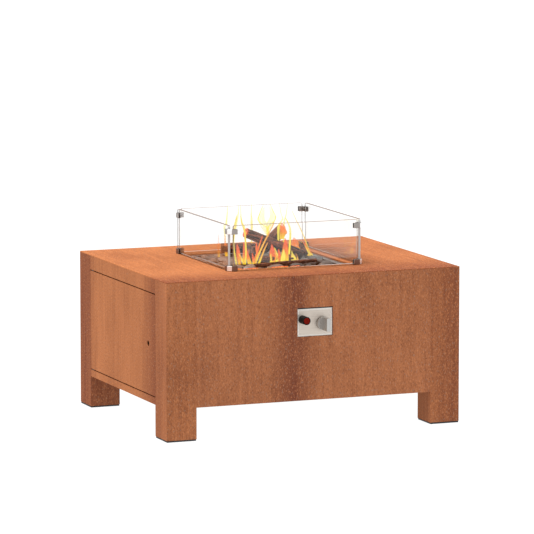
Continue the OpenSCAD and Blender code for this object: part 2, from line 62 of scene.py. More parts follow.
# Lengths in metres, angles in radians.
SHARP_ANGLE = math.radians(28.0)    # edges sharper than this are rounded
FLAT_ANGLE = math.radians(0.5)      # faces flatter than this are joined before rounding
MERGE_REACH = 1e-6
SEAM_REACH = 2e-4                   # an edge this near a welded seam stays sharp
SHEET_EDGE, FOLD_EDGE, FOOT_EDGE = 0.0006, 0.0010, 0.0012
PANE_EDGE, CLIP_EDGE = 0.0007, 0.0008
KNOB_DISC_OUT = 0.009               # front of the knob's disc before the front panel
GLOW_REACH = 0.008                  # how far a log's glow runs down its side
PEBBLE_STEP = 0.0065                # height of the upper course of pebbles over the grate
EMBER_STEP, EMBER_INSET = 0.0052, 0.011
FLAME_ROWS, FLAME_COLUMNS = 8, 8
FLAME_THIN, FLAME_MIN_HALF, FLAME_WAVER = 0.0003, 0.0006, 0.004
ACROSS_VIEW, ALONG_VIEW = Vector((0.927, -0.374, 0)), Vector((0.374, 0.927, 0))
FLOOR_REACH = 40.0


# ---------------------------------------------------------------- materials

class Paint:
    """A Principled material whose node tree is built in a few calls."""

    def __init__(self, name, stretch=(1, 1, 1), **values):
        self.mat = bpy.data.materials.new(name)
        self.mat.use_nodes = True
        self.tree = self.mat.node_tree
        self.bsdf = self.tree.nodes["Principled BSDF"]
        self.coord = self.tree.nodes.new("ShaderNodeTexCoord").outputs["Object"]
        self.stretch = stretch
        for key, value in values.items():
            self.bsdf.inputs[key.replace("_", " ")].default_value = value

    def put(self, socket, value):
        if isinstance(value, bpy.types.NodeSocket):
            self.tree.links.new(value, socket)
        else:
            socket.default_value = value

    def point(self, stretch=None):
        node = self.tree.nodes.new("ShaderNodeMapping")
        node.inputs["Scale"].default_value = stretch or self.stretch
        self.tree.links.new(self.coord, node.inputs["Vector"])
        return node.outputs["Vector"]

    def noise(self, scale, detail=3.0, roughness=0.55, stretch=None, distortion=0.0):
        node = self.tree.nodes.new("ShaderNodeTexNoise")
        node.inputs["Scale"].default_value = scale
        node.inputs["Detail"].default_value = detail
        node.inputs["Roughness"].default_value = roughness
        node.inputs["Distortion"].default_value = distortion
        self.tree.links.new(self.point(stretch), node.inputs["Vector"])
        return node.outputs["Fac"]

    def attribute(self, name):
        node = self.tree.nodes.new("ShaderNodeAttribute")
        node.attribute_name = name
        return node.outputs["Fac"]

    def ramp(self, factor, stops):
        node = self.tree.nodes.new("ShaderNodeValToRGB")
        elements = node.color_ramp.elements
        while len(elements) < len(stops):
            elements.new(0.5)
        for element, (place, colour) in zip(elements, stops):
            element.position = place
            element.color = (*colour, 1.0)
        self.tree.links.new(factor, node.inputs["Fac"])
        return node.outputs["Color"]

    def level(self, factor, low, high, out_low=0.0, out_high=1.0):
        node = self.tree.nodes.new("ShaderNodeMapRange")
        node.interpolation_type = "SMOOTHSTEP"
        for name, value in (("From Min", low), ("From Max", high), ("To Min", out_low), ("To Max", out_high)):
            node.inputs[name].default_value = value
        self.tree.links.new(factor, node.inputs["Value"])
        return node.outputs["Result"]

    def mix(self, factor, a, b):
        node = self.tree.nodes.new("ShaderNodeMix")
        node.data_type = "RGBA"
        self.put(node.inputs["Factor"], factor)
        for name, value in (("A", a), ("B", b)):
            socket = next(s for s in node.inputs if s.name == name and s.type == "RGBA")
            self.put(socket, (*value, 1.0) if isinstance(value, tuple) else value)
        return next(s for s in node.outputs if s.type == "RGBA")

    def math(self, operation, a, b=0.0):
        node = self.tree.nodes.new("ShaderNodeMath")
        node.operation = operation
        node.use_clamp = operation in ("ADD", "MULTIPLY")
        self.put(node.inputs[0], a)
        self.put(node.inputs[1], b)
        return node.outputs[0]

    def axis(self, name):
        node = self.tree.nodes.new("ShaderNodeSeparateXYZ")
        self.tree.links.new(self.coord, node.inputs[0])
        return node.outputs[name]

    def band(self, name, centre, half_width):
        """1 at the centre of a soft band across an axis, 0 outside it."""
        offset = self.math("SUBTRACT", self.axis(name), centre)
        distance = self.tree.nodes.new("ShaderNodeMath")
        distance.operation = "ABSOLUTE"
        self.tree.links.new(offset, distance.inputs[0])
        return self.level(distance.outputs[0], 0.0, half_width, 1.0, 0.0)

    def speckled(self, factor, colour, dark, light):
        """A colour that runs from a darker to a lighter tone of itself."""
        return self.mix(self.level(factor, 0.3, 0.7), tuple(c * dark for c in colour),
                        tuple(min(1, c * light) for c in colour))

    def colour(self, value):
        self.put(self.bsdf.inputs["Base Color"], value)

    def roughness(self, factor, low, high):
        self.put(self.bsdf.inputs["Roughness"], self.level(factor, 0.25, 0.75, low, high))

    def bump(self, height, strength, distance):
        node = self.tree.nodes.new("ShaderNodeBump")
        node.inputs["Strength"].default_value = strength
        node.inputs["Distance"].default_value = distance
        self.tree.links.new(height, node.inputs["Height"])
        self.put(self.bsdf.inputs["Normal"], node.outputs["Normal"])


def corten_paint(name, stretch, bands, painted_light_tint=(1.0, 1.0, 1.0)):
    """Weathered rust: cloudy tone, faint runs, darker bands and a fine grain of orange, brown and grey. Every
    colour is scaled by painted_light_tint, painted light and shade for the faces this copy covers.
    """
    # Scales a colour by the painted light and shade of this copy.
    def with_painted_light(*colour):
        return tuple(c * l for c, l in zip(colour, painted_light_tint))

    paint = Paint(name, stretch=stretch, Roughness=0.92, Specular_IOR_Level=0.06)
    cloud = paint.noise(6.0, detail=4.0, stretch=tuple(0.45 + 0.55 * s for s in stretch))
    tone = paint.ramp(cloud, [(0.32, with_painted_light(0.30, 0.107, 0.048)), (0.50, with_painted_light(0.375, 0.138, 0.060)),
                              (0.70, with_painted_light(0.43, 0.160, 0.070))])
    runs = paint.noise(75.0, detail=4.0, roughness=0.6)
    tone = paint.mix(paint.level(runs, 0.52, 0.70, 0.0, 0.38), tone, with_painted_light(0.50, 0.190, 0.082))
    tone = paint.mix(paint.level(runs, 0.48, 0.32, 0.0, 0.38), tone, with_painted_light(0.25, 0.085, 0.040))
    for axis, centre, half_width, strength in bands:
        soft = paint.math("MULTIPLY", paint.band(axis, centre, half_width), strength)
        soft = paint.math("MULTIPLY", soft, paint.level(runs, 0.30, 0.62, 1.0, 0.72))
        tone = paint.mix(soft, tone, with_painted_light(0.185, 0.055, 0.030))
    fine = tuple(0.50 + 0.50 * s for s in stretch)
    grain = paint.noise(310.0, detail=4.0, roughness=0.72, stretch=fine)
    tone = paint.mix(paint.level(grain, 0.53, 0.68, 0.0, 0.72), tone, with_painted_light(0.62, 0.250, 0.105))
    tone = paint.mix(paint.level(grain, 0.47, 0.33, 0.0, 0.74), tone, with_painted_light(0.150, 0.054, 0.028))
    specks = paint.noise(240.0, detail=3.0, stretch=fine)
    tone = paint.mix(paint.level(specks, 0.57, 0.72, 0.0, 0.55), tone, with_painted_light(0.34, 0.225, 0.165))
    paint.colour(tone)
    paint.roughness(grain, 0.84, 0.98)
    paint.bump(grain, 0.30, 0.0005)
    return paint.mat


def brushed_paint(name, colour, roughness, direction, metallic=1.0, stain=None, polished=None):
    """Metal with fine lines along one axis; faces marked in finish take polished, a painted highlight on
    clips and the plate rim, painted shade on the knob's sides.
    """
    stretch = tuple(0.02 if i == direction else 1.0 for i in range(3))
    paint = Paint(name, stretch=stretch, Metallic=metallic, Roughness=roughness)
    lines = paint.noise(900.0, detail=3.0, roughness=0.7)
    tone = paint.speckled(lines, colour, 0.86, 1.06)
    if stain:
        cloud = paint.noise(14.0, detail=4.0, stretch=(1, 1, 1))
        tone = paint.mix(paint.level(cloud, 0.45, 0.70, 0.0, 0.7), tone, stain)
    if polished:
        # Painted light: marked faces take the material's painted highlight or painted shade tone.
        tone = paint.mix(paint.attribute("finish"), tone, polished)
    paint.colour(tone)
    paint.roughness(lines, roughness * 0.8, roughness * 1.25)
    paint.bump(lines, 0.12, 0.0002)
    return paint.mat


def dull_paint(name, colour, roughness, grain=350.0, depth=0.0003, metallic=0.0, dust=None, shine=0.5):
    """Plastic, rubber, cast or painted surface with a fine texture."""
    paint = Paint(name, Metallic=metallic, Roughness=roughness, Specular_IOR_Level=shine)
    fine = paint.noise(grain, detail=3.0, roughness=0.65)
    tone = paint.speckled(fine, colour, 0.8, 1.15)
    if dust:
        cloud = paint.noise(25.0, detail=5.0)
        tone = paint.mix(paint.level(cloud, 0.50, 0.75, 0.0, 0.5), tone, dust)
    paint.colour(tone)
    paint.roughness(fine, roughness * 0.85, min(1.0, roughness * 1.1))
    paint.bump(fine, 0.3, depth)
    return paint.mat


def glass_paint():
    """Clear panes whose ground edges carry painted light and shade: pale on the ends that face the front, a
    brown painted reflection elsewhere.
    """
    paint = Paint("clear_glass", Roughness=0.0, IOR=1.45, Transmission_Weight=1.0)
    faint = paint.noise(6.0, detail=2.0)
    clear = paint.mix(paint.level(faint, 0.3, 0.7), (0.978, 0.962, 0.942), (0.986, 0.975, 0.960))
    # pale marks the edge faces that take the painted pale tone.
    cut_edge, pale = paint.attribute("cut_edge"), paint.attribute("finish")
    grind = paint.noise(600.0, detail=3.0)
    # Both edge tones are painted: dark is a brown painted reflection, light a pale painted highlight.
    dark = paint.mix(paint.level(grind, 0.3, 0.7), (0.15, 0.085, 0.060), (0.24, 0.15, 0.115))
    light = paint.mix(paint.level(grind, 0.3, 0.7), (0.52, 0.51, 0.50), (0.66, 0.65, 0.64))
    paint.colour(paint.mix(cut_edge, clear, paint.mix(pale, dark, light)))
    paint.put(paint.bsdf.inputs["Transmission Weight"], paint.level(cut_edge, 0.0, 1.0, 1.0, 0.0))
    paint.put(paint.bsdf.inputs["Roughness"], paint.level(cut_edge, 0.0, 1.0, 0.0, 0.6))
    return paint.mat


def pebble_paint():
    """Each pebble takes its own tone; fine mineral grain and soft veins."""
    paint = Paint("pebbles", Roughness=0.6, Specular_IOR_Level=0.35)
    own = paint.attribute("tone")
    tone = paint.ramp(own, [(0.0, (0.075, 0.066, 0.060)), (0.35, (0.145, 0.115, 0.098)),
                            (0.62, (0.19, 0.115, 0.080)), (0.85, (0.24, 0.155, 0.115)),
                            (1.0, (0.40, 0.37, 0.34))])
    vein = paint.noise(45.0, detail=5.0, distortion=1.2)
    tone = paint.mix(paint.level(vein, 0.55, 0.72, 0.0, 0.35), tone, (0.27, 0.21, 0.17))
    grain = paint.noise(500.0, detail=3.0, roughness=0.7)
    tone = paint.mix(paint.level(grain, 0.50, 0.30, 0.0, 0.5), tone, (0.035, 0.030, 0.028))
    paint.colour(tone)
    paint.roughness(grain, 0.45, 0.8)
    paint.bump(grain, 0.3, 0.0004)
    return paint.mat


def bark_paint():
    """Charred moulded bark: dark furrows, brown ridges, split wood on the ends, some of which glow."""
    paint = Paint("charred_bark", Roughness=0.85, Specular_IOR_Level=0.2)
    ridge = paint.attribute("ridge")
    cut = paint.attribute("cut")
    glow = paint.attribute("glow")
    tone = paint.ramp(ridge, [(0.30, (0.010, 0.006, 0.005)), (0.58, (0.062, 0.021, 0.011)),
                              (0.80, (0.190, 0.060, 0.029)), (1.0, (0.42, 0.145, 0.072))])
    streak = paint.noise(130.0, detail=4.0, roughness=0.65)
    tone = paint.mix(paint.level(streak, 0.48, 0.38, 0.0, 0.80), tone, (0.018, 0.008, 0.005))
    tone = paint.mix(paint.level(streak, 0.54, 0.66, 0.0, 0.55), tone, (0.44, 0.165, 0.090))
    fibre = paint.noise(420.0, detail=4.0, roughness=0.7)
    tone = paint.mix(paint.level(fibre, 0.53, 0.66, 0.0, 0.65), tone, (0.40, 0.145, 0.072))
    ash = paint.noise(38.0, detail=5.0)
    tone = paint.mix(paint.level(fibre, 0.46, 0.34, 0.0, 0.75), tone, (0.012, 0.006, 0.004))
    tone = paint.mix(paint.level(ash, 0.58, 0.75, 0.0, 0.20), tone, (0.20, 0.125, 0.095))
    wood = paint.ramp(fibre, [(0.3, (0.06, 0.028, 0.016)), (0.7, (0.20, 0.095, 0.055))])
    tone = paint.mix(cut, tone, wood)
    paint.colour(tone)
    paint.bump(fibre, 0.6, 0.0008)
    hot = paint.noise(70.0, detail=3.0)
    heat = paint.math("MULTIPLY", glow, paint.level(hot, 0.30, 0.55, 0.35, 1.0))
    ember = paint.ramp(heat, [(0.0, (0.0, 0.0, 0.0)), (0.25, (0.45, 0.04, 0.01)),
                              (0.60, (1.0, 0.17, 0.03)), (1.0, (1.0, 0.42, 0.05))])
    paint.put(paint.bsdf.inputs["Emission Color"], ember)
    paint.bsdf.inputs["Emission Strength"].default_value = 1.0
    return paint.mat


def ember_paint():
    """Dark flakes with a patchy glow from red to orange."""
    paint = Paint("embers", Roughness=0.9)
    hot = paint.noise(240.0, detail=3.0)
    paint.colour(paint.mix(paint.level(hot, 0.4, 0.6), (0.05, 0.02, 0.015), (0.35, 0.08, 0.03)))
    ember = paint.ramp(hot, [(0.30, (0.45, 0.03, 0.005)), (0.46, (1.0, 0.11, 0.025)),
                             (0.70, (1.0, 0.32, 0.06))])
    paint.put(paint.bsdf.inputs["Emission Color"], ember)
    paint.bsdf.inputs["Emission Strength"].default_value = 1.1
    return paint.mat


def flame_paint():
    """Hot flames are orange-red with yellow roots and edges, cool ones are pale yellow veils."""
    paint = Paint("flames")
    side, rise = paint.attribute("side"), paint.attribute("rise")
    heat, strength = paint.attribute("warmth"), paint.attribute("strength")
    lick = paint.noise(95.0, detail=3.0, stretch=(1, 1, 0.16))
    red = paint.mix(paint.level(rise, 0.05, 0.80), (1.0, 0.23, 0.030), (1.0, 0.125, 0.045))
    inside = paint.mix(heat, (1.0, 0.90, 0.12), red)
    root = paint.math("MULTIPLY", paint.level(rise, 0.40, 0.04, 0.0, 0.9),
                      paint.level(lick, 0.40, 0.55, 0.2, 1.0))
    inside = paint.mix(root, inside, (1.0, 0.74, 0.035))
    streak = paint.mix(heat, (1.0, 0.93, 0.25), (1.0, 0.38, 0.04))
    inside = paint.mix(paint.level(lick, 0.56, 0.68, 0.0, 0.6), inside, streak)
    rim = paint.mix(paint.level(rise, 0.55, 1.0), (1.0, 0.80, 0.05), (1.0, 0.92, 0.25))
    rim = paint.mix(paint.math("MULTIPLY", heat, paint.level(rise, 0.10, 0.55, 0.0, 1.0)), rim,
                    (1.0, 0.27, 0.05))
    edge = paint.level(side, 0.55, 0.90)
    glow = paint.mix(paint.math("MULTIPLY", edge, paint.level(lick, 0.35, 0.60, 0.35, 1.0)), inside, rim)
    body = paint.level(rise, 0.30, 1.0, 0.92, 0.62)
    body = paint.math("MULTIPLY", body, paint.level(lick, 0.34, 0.56, 0.55, 1.0))
    cover = paint.math("MAXIMUM", body, paint.math("MULTIPLY", edge, 0.80))
    soft = paint.level(side, 0.72, 1.0, 1.0, 0.0)
    tip = paint.level(rise, 0.88, 1.0, 1.0, 0.0)
    cover = paint.math("MULTIPLY", paint.math("MULTIPLY", cover, soft), paint.math("MULTIPLY", tip, strength))
    tree = paint.tree
    emission = tree.nodes.new("ShaderNodeEmission")
    emission.inputs["Strength"].default_value = 1.0
    tree.links.new(glow, emission.inputs["Color"])
    clear = tree.nodes.new("ShaderNodeBsdfTransparent")
    mixer = tree.nodes.new("ShaderNodeMixShader")
    tree.links.new(cover, mixer.inputs[0])
    tree.links.new(clear.outputs[0], mixer.inputs[1])
    tree.links.new(emission.outputs[0], mixer.inputs[2])
    tree.links.new(mixer.outputs[0], tree.nodes["Material Output"].inputs["Surface"])
    tree.nodes.remove(paint.bsdf)
    return paint.mat


FRONT_BANDS = [("X", -0.068, 0.10, 1.0), ("X", 0.49, 0.13, 0.95)]
SIDE_BANDS = [("Y", MID_Y - 0.33, 0.18, 1.0), ("Y", MID_Y + 0.38, 0.15, 1.0)]
LEG_BANDS = [("Y", MID_Y + 0.35, 0.26, 1.0), ("Y", MID_Y - 0.33, 0.13, 0.35), ("X", 0.49, 0.13, 0.70)]
TOP_BANDS = [("Y", FRONT_Y, 0.24, 1.0), ("Y", FRONT_Y, 0.10, 0.60), ("X", 0.50, 0.75, 0.28)]
ALONG_Z, ALONG_Y = (1.0, 1.0, 0.05), (1.0, 0.05, 1.0)
MATERIALS = {
    # The last tuple of each rust copy is painted light and shade: the top is painted lighter, the front,
    # sides and legs darker.
    "corten": corten_paint("weathering_steel", ALONG_Z, FRONT_BANDS, (0.90, 0.89, 0.90)),
    "corten_side": corten_paint("weathering_steel_side", ALONG_Z, SIDE_BANDS, (0.95, 0.93, 0.87)),
    "corten_leg": corten_paint("weathering_steel_leg", ALONG_Z, LEG_BANDS, (0.92, 0.90, 0.87)),
    "corten_top": corten_paint("weathering_steel_top", ALONG_Y, TOP_BANDS, (1.16, 1.09, 0.93)),
    "foot_rubber": dull_paint("foot_rubber", (0.018, 0.018, 0.020), 0.7, dust=(0.06, 0.055, 0.05)),
    "hinge_steel": brushed_paint("hinge_steel", (0.13, 0.10, 0.085), 0.40, 2),
    "magnet_black": dull_paint("magnet_black", (0.02, 0.02, 0.022), 0.5),
    "galvanised": brushed_paint("galvanised", (0.50, 0.52, 0.54), 0.45, 0, stain=(0.38, 0.40, 0.42)),
    "stainless": brushed_paint("stainless", (0.21, 0.185, 0.165), 0.35, 0, stain=(0.12, 0.09, 0.075)),
    "brass": brushed_paint("brass", (0.72, 0.50, 0.20), 0.28, 1),
    "grate_iron": dull_paint("grate_iron", (0.030, 0.028, 0.027), 0.6, grain=220.0, depth=0.0006,
                             metallic=0.6),
    "stones": pebble_paint(),
    "charred_log": bark_paint(),
    "white_ceramic": dull_paint("white_ceramic", (0.80, 0.78, 0.72), 0.25, grain=120.0),
    # The second tone of control_steel is a painted highlight on the plate's rim.
    "control_steel": brushed_paint("control_steel", (0.63, 0.56, 0.49), 0.45, 0, metallic=0.75,
                                   polished=(0.70, 0.66, 0.61)),
    "bracket_black": dull_paint("bracket_black", (0.012, 0.012, 0.012), 0.55),
    "igniter_black": dull_paint("igniter_black", (0.008, 0.008, 0.007), 0.5, shine=0.08),
    "button_red": dull_paint("button_red", (0.145, 0.005, 0.0012), 0.5, shine=0.05),
    # The second tone of knob_metal is painted shade on the paddle's sides and the disc's rim.
    "knob_metal": brushed_paint("knob_metal", (0.49, 0.475, 0.455), 0.28, 2, polished=(0.41, 0.365, 0.33)),
    "copper": brushed_paint("copper", (0.72, 0.34, 0.20), 0.30, 1),
    "glass": glass_paint(),
    # The chamfer tone of both clip materials is a painted highlight.
    "clip_polished": brushed_paint("clip_polished", (0.36, 0.33, 0.31), 0.40, 2, polished=(0.95, 0.95, 0.95)),
    # The brown base of the low clips is a painted reflection of the rust top in their steel.
    "clip_low": brushed_paint("clip_low", (0.23, 0.145, 0.112), 0.40, 2, polished=(0.95, 0.93, 0.91)),
    "flame": flame_paint(),
    "ember": ember_paint(),
}


# ---------------------------------------------------------------- pieces

def add_piece(name, mesh, body, material, replaced=()):
    """Puts a finished mesh in the scene on its body, and hides the CAD nodes it stands in for."""
    piece = bpy.data.objects.new(name, mesh)
    bpy.context.scene.collection.objects.link(piece)
    mesh.materials.clear()
    mesh.materials.append(material)
    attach(piece, body)
    if replaced:
        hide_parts(*replaced)


def smooth_mesh(bm, name):
    """Turns a finished bmesh into a mesh with smooth faces."""
    for face in bm.faces:
        face.smooth = True
    mesh = bpy.data.meshes.new(name)
    bm.to_mesh(mesh)
    bm.free()
    return mesh


def add_values(mesh, name, values):
    """A number for each point, which the materials read."""
    layer = mesh.attributes.new(name, "FLOAT", "POINT")
    layer.data.foreach_set("value", np.asarray(values, np.float32))


def softened_mesh(node, width, segments, seams):
    """A copy of a CAD node's mesh with its hard edges rounded, except along welded seams."""
    bm = bmesh.new()
    bm.from_mesh(NODES[node].data)
    bmesh.ops.remove_doubles(bm, verts=bm.verts, dist=MERGE_REACH)
    bmesh.ops.dissolve_limit(bm, angle_limit=FLAT_ANGLE, verts=bm.verts, edges=bm.edges)
    for face in bm.faces:
        face.smooth = False

    def on_seam(edge):
        return any(all(abs(v.co[axis] - place) < SEAM_REACH for v in edge.verts) for axis, place in seams)

    hard = [e for e in bm.edges
            if len(e.link_faces) == 2 and e.calc_face_angle(0.0) > SHARP_ANGLE and not on_seam(e)]
    rounded = bmesh.ops.bevel(bm, geom=hard, offset=width, segments=segments, profile=0.5,
                              affect="EDGES", clamp_overlap=True)
    for face in rounded["faces"]:
        face.smooth = True
    bmesh.ops.recalc_face_normals(bm, faces=bm.faces)
    mesh = bpy.data.meshes.new(node + "_soft")
    bm.to_mesh(mesh)
    bm.free()
    return mesh


def mark_faces(mesh, name, rule):
    """A number for each face, given by a rule on its normal and centre."""
    layer = mesh.attributes.new(name, "FLOAT", "FACE")
    layer.data.foreach_set("value", [float(rule(f.normal, f.center)) for f in mesh.polygons])


def soften(node, width, material=None, segments=2, seams=(), **marks):
    """Stands a softened copy in for a CAD node; each mark is a number per face that its material reads."""
    slot = SLOT_OF[node]
    mesh = softened_mesh(node, width, segments, seams)
    for name, rule in marks.items():
        mark_faces(mesh, name, rule)
    add_piece("soft_" + node, mesh, BODY_OF[node], material or MATERIALS[slot], [node])


def paint_frame():
    """Every CAD node gets its slot and that slot's material."""
    for name, obj in NODES.items():
        obj.data.materials.clear()
        obj.data.materials.append(MATERIALS[SLOT_OF[name]])


def build_body():
    """The steel body: folded edges rounded, welded seams left sharp."""
    side = MATERIALS["corten_side"]
    panel_low, panel_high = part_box("front_panel")
    rail_low, rail_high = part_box("left_top_rail")
    seams = [(0, panel_low.x), (0, panel_high.x), (1, rail_low.y), (1, rail_high.y),
             (2, TOP_LOW.z), (2, rail_high.z)]
    soften("top_plate", FOLD_EDGE, MATERIALS["corten_top"], seams=[(2, rail_high.z)])
    soften("front_panel", SHEET_EDGE, seams=seams)
    soften("back_panel", SHEET_EDGE, MATERIALS["corten_leg"], seams=seams)
    for node in ("right_panel", "left_top_rail", "left_bottom_rail"):
        soften(node, SHEET_EDGE, side, seams=seams)
    soften("side_door", SHEET_EDGE, side)
    for depth in ("front", "back"):
        for hand in ("left", "right"):
            soften(f"leg_{depth}_{hand}", FOLD_EDGE, MATERIALS["corten_leg"], seams=seams)
            soften(f"foot_{depth}_{hand}", FOOT_EDGE)


def build_guard():
    """Panes with marked cut edges that take painted light and shade, and clamps whose corner chamfer carries
    a painted highlight.
    """
    def cut_edge(across):
        return lambda normal, centre: abs(normal[across]) < 0.7

    # Chamfer faces are marked for the painted highlight.
    def chamfer(normal, centre):
        return abs(normal.x) > 0.4 and abs(normal.y) > 0.4

    for node in ("glass_front", "glass_back"):
        soften(node, PANE_EDGE, cut_edge=cut_edge(1), finish=lambda normal, centre: 0.0)
    # On the side panes the edges that face the front take the painted pale tone.
    for node in ("glass_left", "glass_right"):
        soften(node, PANE_EDGE, cut_edge=cut_edge(0), finish=lambda normal, centre: abs(normal.y) > 0.6)
    for node, look in (("guard_base_clips", "clip_low"), ("guard_top_clips", "clip_polished")):
        soften(node, CLIP_EDGE, MATERIALS[look], segments=3, finish=chamfer)


def build_controls():
    """The plate with a painted highlight on its rim, the knob with painted shade on its sides, and the
    igniter.
    """
    plate_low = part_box("control_plate")[0]
    disc_front = FRONT_Y - KNOB_DISC_OUT

    # Rim faces take the painted highlight.
    def on_rim(normal, centre):
        return centre.y < plate_low.y + 0.0002

    def painted_shade_side(normal, centre):
        """Flat sides of the paddle and the rim of the disc, which take painted shade."""
        return abs(normal.x) > 0.85 or (centre.y > disc_front + 0.0005 and abs(normal.y) < 0.5)

    soften("control_plate", 0.0002, finish=on_rim)
    soften("control_knob", 0.0009, segments=3, finish=painted_shade_side)
    soften("igniter_barrel", 0.0008, segments=3)
    soften("igniter_button", 0.0012, segments=4)


def pebble_points(rng, radius, flat, seed):
    """Points and faces of one water-worn pebble."""
    bm = bmesh.new()
    bmesh.ops.create_icosphere(bm, subdivisions=4, radius=1.0)
    size = Vector((rng.uniform(0.95, 1.25), rng.uniform(0.78, 1.0), flat)) * radius
    lean = Matrix.Rotation(rng.uniform(0, math.tau), 3, "Z") @ Matrix.Rotation(rng.gauss(0, 0.16), 3, "X")
    for v in bm.verts:
        push = 1 + 0.16 * noise.noise(v.co * 1.1 + Vector((seed, 0, 0)))
        push += 0.04 * noise.noise(v.co * 3.2 + Vector((0, seed, 0)))
        v.co = lean @ Vector(c * s for c, s in zip(v.co * push, size))
    return bm


def build_stones():
    """Two courses of pebbles over the grate, packed by throwing them at random and keeping the clear ones."""
    rng = random.Random(11)
    reach = (STONES_HIGH.x - STONES_LOW.x) / 2
    centre = Vector((0, MID_Y, 0))
    grate_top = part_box("grate")[1].z
    merged = bmesh.new()
    tones = []

    def lay(count, r_low, r_high, flat, z, gap, placed):
        for _ in range(count):
            r = rng.uniform(r_low, r_high)
            x, y = rng.uniform(-reach + r, reach - r), rng.uniform(-reach + r, reach - r)
            if any(math.hypot(x - a, y - b) < gap * (r + c) for a, b, c in placed):
                continue
            placed.append((x, y, r))
            stone = pebble_points(rng, r, flat * rng.uniform(0.85, 1.1), len(tones) * 1.7)
            painted_light_tint = z + rng.uniform(-0.001, 0.001)
            low = min(v.co.z for v in stone.verts)
            for v in stone.verts:
                v.co += centre + Vector((x, y, painted_light_tint - low))
            mesh = bpy.data.meshes.new("one_pebble")
            stone.to_mesh(mesh)
            stone.free()
            merged.from_mesh(mesh)
            bpy.data.meshes.remove(mesh)
            lighter_left = 0.5 - 1.1 * x / reach * 0.3
            tones.append((len(merged.verts), min(1.0, max(0.0, rng.gauss(lighter_left - 0.08, 0.16)))))

    lay(900, 0.012, 0.015, 0.72, grate_top, 0.80, [])
    lay(1600, 0.019, 0.025, 0.42, grate_top + PEBBLE_STEP, 0.90, [])
    mesh = smooth_mesh(merged, "pebbles")
    values = np.zeros(len(mesh.vertices))
    start = 0
    for end, tone in tones:
        values[start:end] = tone
        start = end
    add_values(mesh, "tone", values)
    add_piece("pebble_bed", mesh, "table", MATERIALS["stones"], ["stones"])


def log_axis(node):
    """End centres and end radii of a round log, the lower end first, from its CAD mesh."""
    points = np.array([v.co for v in NODES[node].data.vertices])
    middle = points.mean(0)
    direction = np.linalg.svd(points - middle, full_matrices=False)[2][0]
    along = (points - middle) @ direction
    ends = []
    for pick in (along < along.min() + 1e-4, along > along.max() - 1e-4):
        centre = points[pick].mean(0)
        ends.append((Vector(centre), float(np.linalg.norm(points[pick] - centre, axis=1).max())))
    return sorted(ends, key=lambda end: end[0].z)


def build_log(node, seed, glow_ends=(0.0, 0.0), furrow=0.10):
    """A bark log: furrowed sides, knots and ragged split ends, inside its CAD bar."""
    (a, ra), (b, rb) = log_axis(node)
    axis = (b - a).normalized()
    side = axis.orthogonal().normalized()
    across = axis.cross(side)
    length = (b - a).length
    rings, around, caps = max(40, int(length / 0.0014)), 96, 9
    offset = Vector((seed * 3.7, seed * 1.3, 0))
    bm = bmesh.new()
    ridge, cut, glow = [], [], []

    def ring_at(t, shrink, is_cap, end):
        ring = []
        for k in range(around):
            angle = math.tau * k / around
            flat = Vector((math.cos(angle), math.sin(angle), 0))
            r = ra + (rb - ra) * t
            spot = flat * 2.6 + Vector((0, 0, t * length * 16)) + offset
            plates = noise.noise(spot)
            fine = noise.noise(flat * 9.0 + Vector((0, 0, t * length * 45)) + offset)
            furrows = 1 - abs(plates) * 2.2
            depth = max(0.0, furrows) ** 2
            lump = 0.05 * noise.noise(flat * 0.9 + Vector((0, 0, t * length * 9)) + offset)
            reach = r * (0.965 - furrow * depth + lump + 0.025 * fine)
            pull = 0.0
            if is_cap:
                rag = noise.noise(flat * shrink * 4.0 + offset + Vector((0, 0, 7.0 * end)))
                pull = (0.10 + 0.10 * rag) * r * (1 - shrink ** 3) * (1 if end else -1) * 0.6
                pull -= 0.12 * r * shrink ** 6 * (1 if end else -1)
            place = a + axis * (t * length + pull) + (side * flat.x + across * flat.y) * reach * shrink
            ring.append(bm.verts.new(place))
            ridge.append(min(1.0, max(0.0, 0.85 - depth + 0.35 * fine)))
            cut.append(1.0 if is_cap else 0.0)
            near = max(glow_ends[0] * max(0.0, 1 - t * length / GLOW_REACH),
                       glow_ends[1] * max(0.0, 1 - (1 - t) * length / GLOW_REACH))
            glow.append(glow_ends[end] if is_cap else near * 0.55)
        return ring

    def centre_at(t, end):
        bump = 0.05 * (ra if end == 0 else rb)
        vert = bm.verts.new(a + axis * (t * length + (bump if end else -bump)))
        ridge.append(0.4)
        cut.append(1.0)
        glow.append(glow_ends[end])
        return vert

    inset = 0.08 * (ra + rb) / 2 / length
    strips = [ring_at(inset, (i + 1) / (caps + 1), True, 0) for i in range(caps)]
    strips += [ring_at(inset + (1 - 2 * inset) * i / rings, 1.0, False, 0) for i in range(rings + 1)]
    strips += [ring_at(1 - inset, (caps - i) / (caps + 1), True, 1) for i in range(caps)]
    first, last = centre_at(inset, 0), centre_at(1 - inset, 1)
    for low, high in zip(strips, strips[1:]):
        for k in range(around):
            n = (k + 1) % around
            bm.faces.new((low[k], low[n], high[n], high[k]))
    for k in range(around):
        n = (k + 1) % around
        bm.faces.new((first, strips[0][n], strips[0][k]))
        bm.faces.new((last, strips[-1][k], strips[-1][n]))
    bmesh.ops.recalc_face_normals(bm, faces=bm.faces)
    mesh = smooth_mesh(bm, node + "_bark")
    add_values(mesh, "ridge", ridge)
    add_values(mesh, "cut", cut)
    add_values(mesh, "glow", glow)
    add_piece("bark_" + node, mesh, "table", MATERIALS["charred_log"], [node])


def build_logs():
    build_log("log_front", 1, glow_ends=(0.0, 0.75))
    build_log("log_upright", 2, glow_ends=(0.0, 1.0))
    build_log("log_back", 3)
    build_log("log_short", 4, furrow=0.08)
    build_log("log_low", 5)
    build_log("log_branch", 6, furrow=0.14)
    build_log("log_chip", 7)


